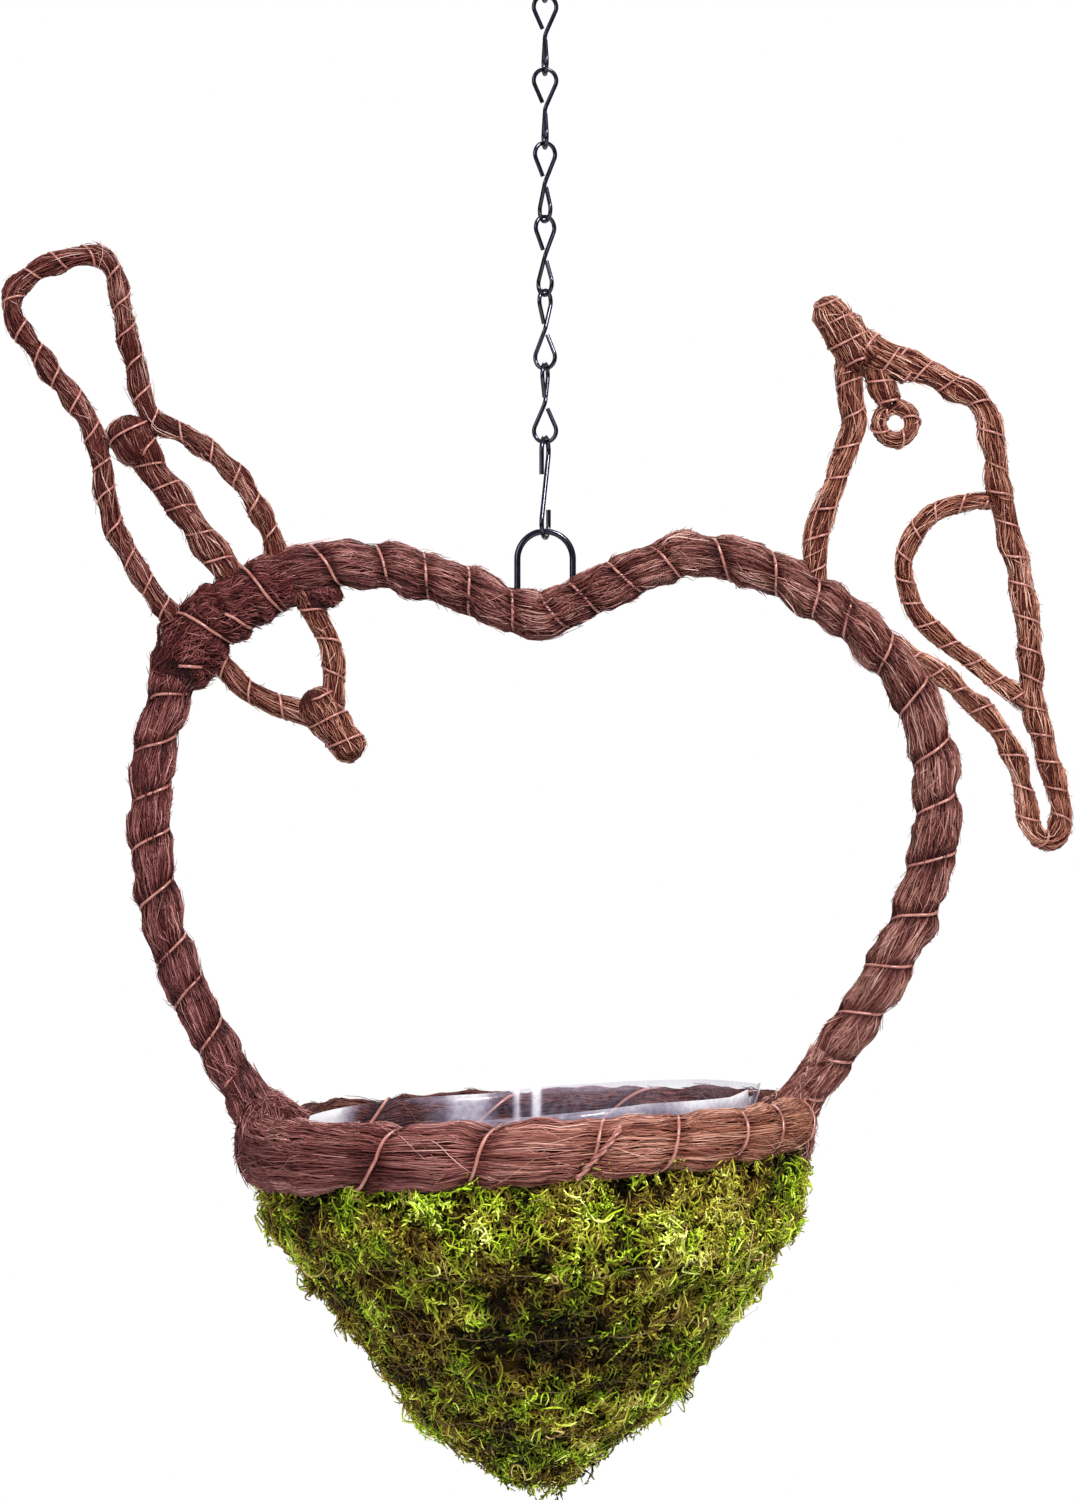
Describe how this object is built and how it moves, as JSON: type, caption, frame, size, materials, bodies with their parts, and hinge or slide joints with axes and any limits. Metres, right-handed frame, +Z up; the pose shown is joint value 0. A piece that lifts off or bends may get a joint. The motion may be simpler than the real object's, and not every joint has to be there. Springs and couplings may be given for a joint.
{
  "type": "hanging planter basket",
  "caption": "Hanging planter: heart-shaped fibre-wrapped hoop with two open bird outlines, a moss-covered cone with a clear liner, on a jack chain with S-hooks.",
  "frame": {"origin": "seat of the top S-hook, where its upper curl rests on the hook it hangs from", "axes": "+Z up along the hanging chain, +X across the heart from the left bird to the right bird, +Y away from the viewer"},
  "size_m": [0.454, 0.2452, 0.6757],
  "materials": {
    "dark_steel": "dark blue-black coated wire, satin",
    "core_steel": "plain drawn wire",
    "binding_wire": "smooth pinkish-brown coated wire",
    "plant_fibre": "combed dark reddish-brown plant fibre",
    "plant_fibre_light": "combed orange-brown plant fibre",
    "moss": "dried and dyed moss",
    "thread": "thin tan thread",
    "clear_film": "clear film"
  },
  "bodies": {
    "top_hook": {"top_s_hook": "dark_steel"},
    "link_1": {"chain_link_1": "dark_steel"},
    "link_2": {"chain_link_2": "dark_steel"},
    "link_3": {"chain_link_3": "dark_steel"},
    "link_4": {"chain_link_4": "dark_steel"},
    "link_5": {"chain_link_5": "dark_steel"},
    "link_6": {"chain_link_6": "dark_steel"},
    "lower_hook": {"lower_s_hook": "dark_steel"},
    "basket": {"hanging_staple": "dark_steel", "hoop_core_wire": "core_steel", "left_bird_core_wire": "core_steel", "right_bird_core_wire": "core_steel", "rim_core_ring": "core_steel", "cone_wire_frame": "core_steel", "hoop_binding_wire": "binding_wire", "left_bird_binding_wire": "binding_wire", "right_bird_binding_wire": "binding_wire", "rim_binding_wire": "binding_wire", "hoop_fibre_left": "plant_fibre", "hoop_fibre_top": "plant_fibre", "hoop_fibre_right": "plant_fibre", "left_foot_wrap": "plant_fibre", "right_foot_wrap": "plant_fibre", "left_bird_joint_wrap": "plant_fibre", "left_bird_tail_fibre": "plant_fibre", "left_bird_back_fibre": "plant_fibre", "left_bird_belly_fibre": "plant_fibre", "left_bird_wing_fibre": "plant_fibre", "left_bird_crown_fibre": "plant_fibre", "left_bird_chin_fibre": "plant_fibre", "left_bird_beak_fibre": "plant_fibre", "right_bird_beak_fibre": "plant_fibre_light", "right_bird_neck_fibre": "plant_fibre_light", "right_bird_back_fibre": "plant_fibre_light", "right_bird_tail_fibre": "plant_fibre_light", "right_bird_wing_fibre": "plant_fibre_light", "right_bird_eye_fibre": "plant_fibre_light", "rim_fibre": "plant_fibre", "moss_shell": "moss", "moss_binding_thread": "thread"},
    "liner": {"plastic_liner": "clear_film"}
  },
  "joints": [
    {"name": "link_1_swing", "type": "hinge", "parent": "top_hook", "child": "link_1", "pos_m": [0, 0, -0.0393], "axis": [0.9903, 0.1392, 0], "range_deg": [-40, 40]},
    {"name": "chain_twist", "type": "hinge", "parent": "link_1", "child": "link_2", "pos_m": [0, 0, -0.0725], "axis": [0, 0, 1], "range_deg": [-35, 35]},
    {"name": "link_3_swing", "type": "hinge", "parent": "link_2", "child": "link_3", "pos_m": [0, 0, -0.1015], "axis": [-0.8829, -0.4695, 0], "range_deg": [-40, 40]},
    {"name": "link_4_swing", "type": "hinge", "parent": "link_3", "child": "link_4", "pos_m": [0, 0, -0.1347], "axis": [-0.4695, 0.8829, 0], "range_deg": [-40, 40]},
    {"name": "link_5_swing", "type": "hinge", "parent": "link_4", "child": "link_5", "pos_m": [0, 0, -0.1637], "axis": [0.5, 0.866, 0], "range_deg": [-40, 40]},
    {"name": "link_6_swing", "type": "hinge", "parent": "link_5", "child": "link_6", "pos_m": [0, 0, -0.1969], "axis": [0.866, -0.5, 0], "range_deg": [-40, 40]},
    {"name": "lower_hook_swing", "type": "hinge", "parent": "link_6", "child": "lower_hook", "pos_m": [0, 0, -0.2258], "axis": [0.2419, 0.9703, 0], "range_deg": [-35, 35]},
    {"name": "basket_swing", "type": "hinge", "parent": "lower_hook", "child": "basket", "pos_m": [0, 0, -0.26565], "axis": [-1, 0, 0], "range_deg": [-40, 40]},
    {"name": "liner_lift", "type": "slide", "parent": "basket", "child": "liner", "axis": [0, 0, 1], "range_m": [0, 0.12]}
  ]
}
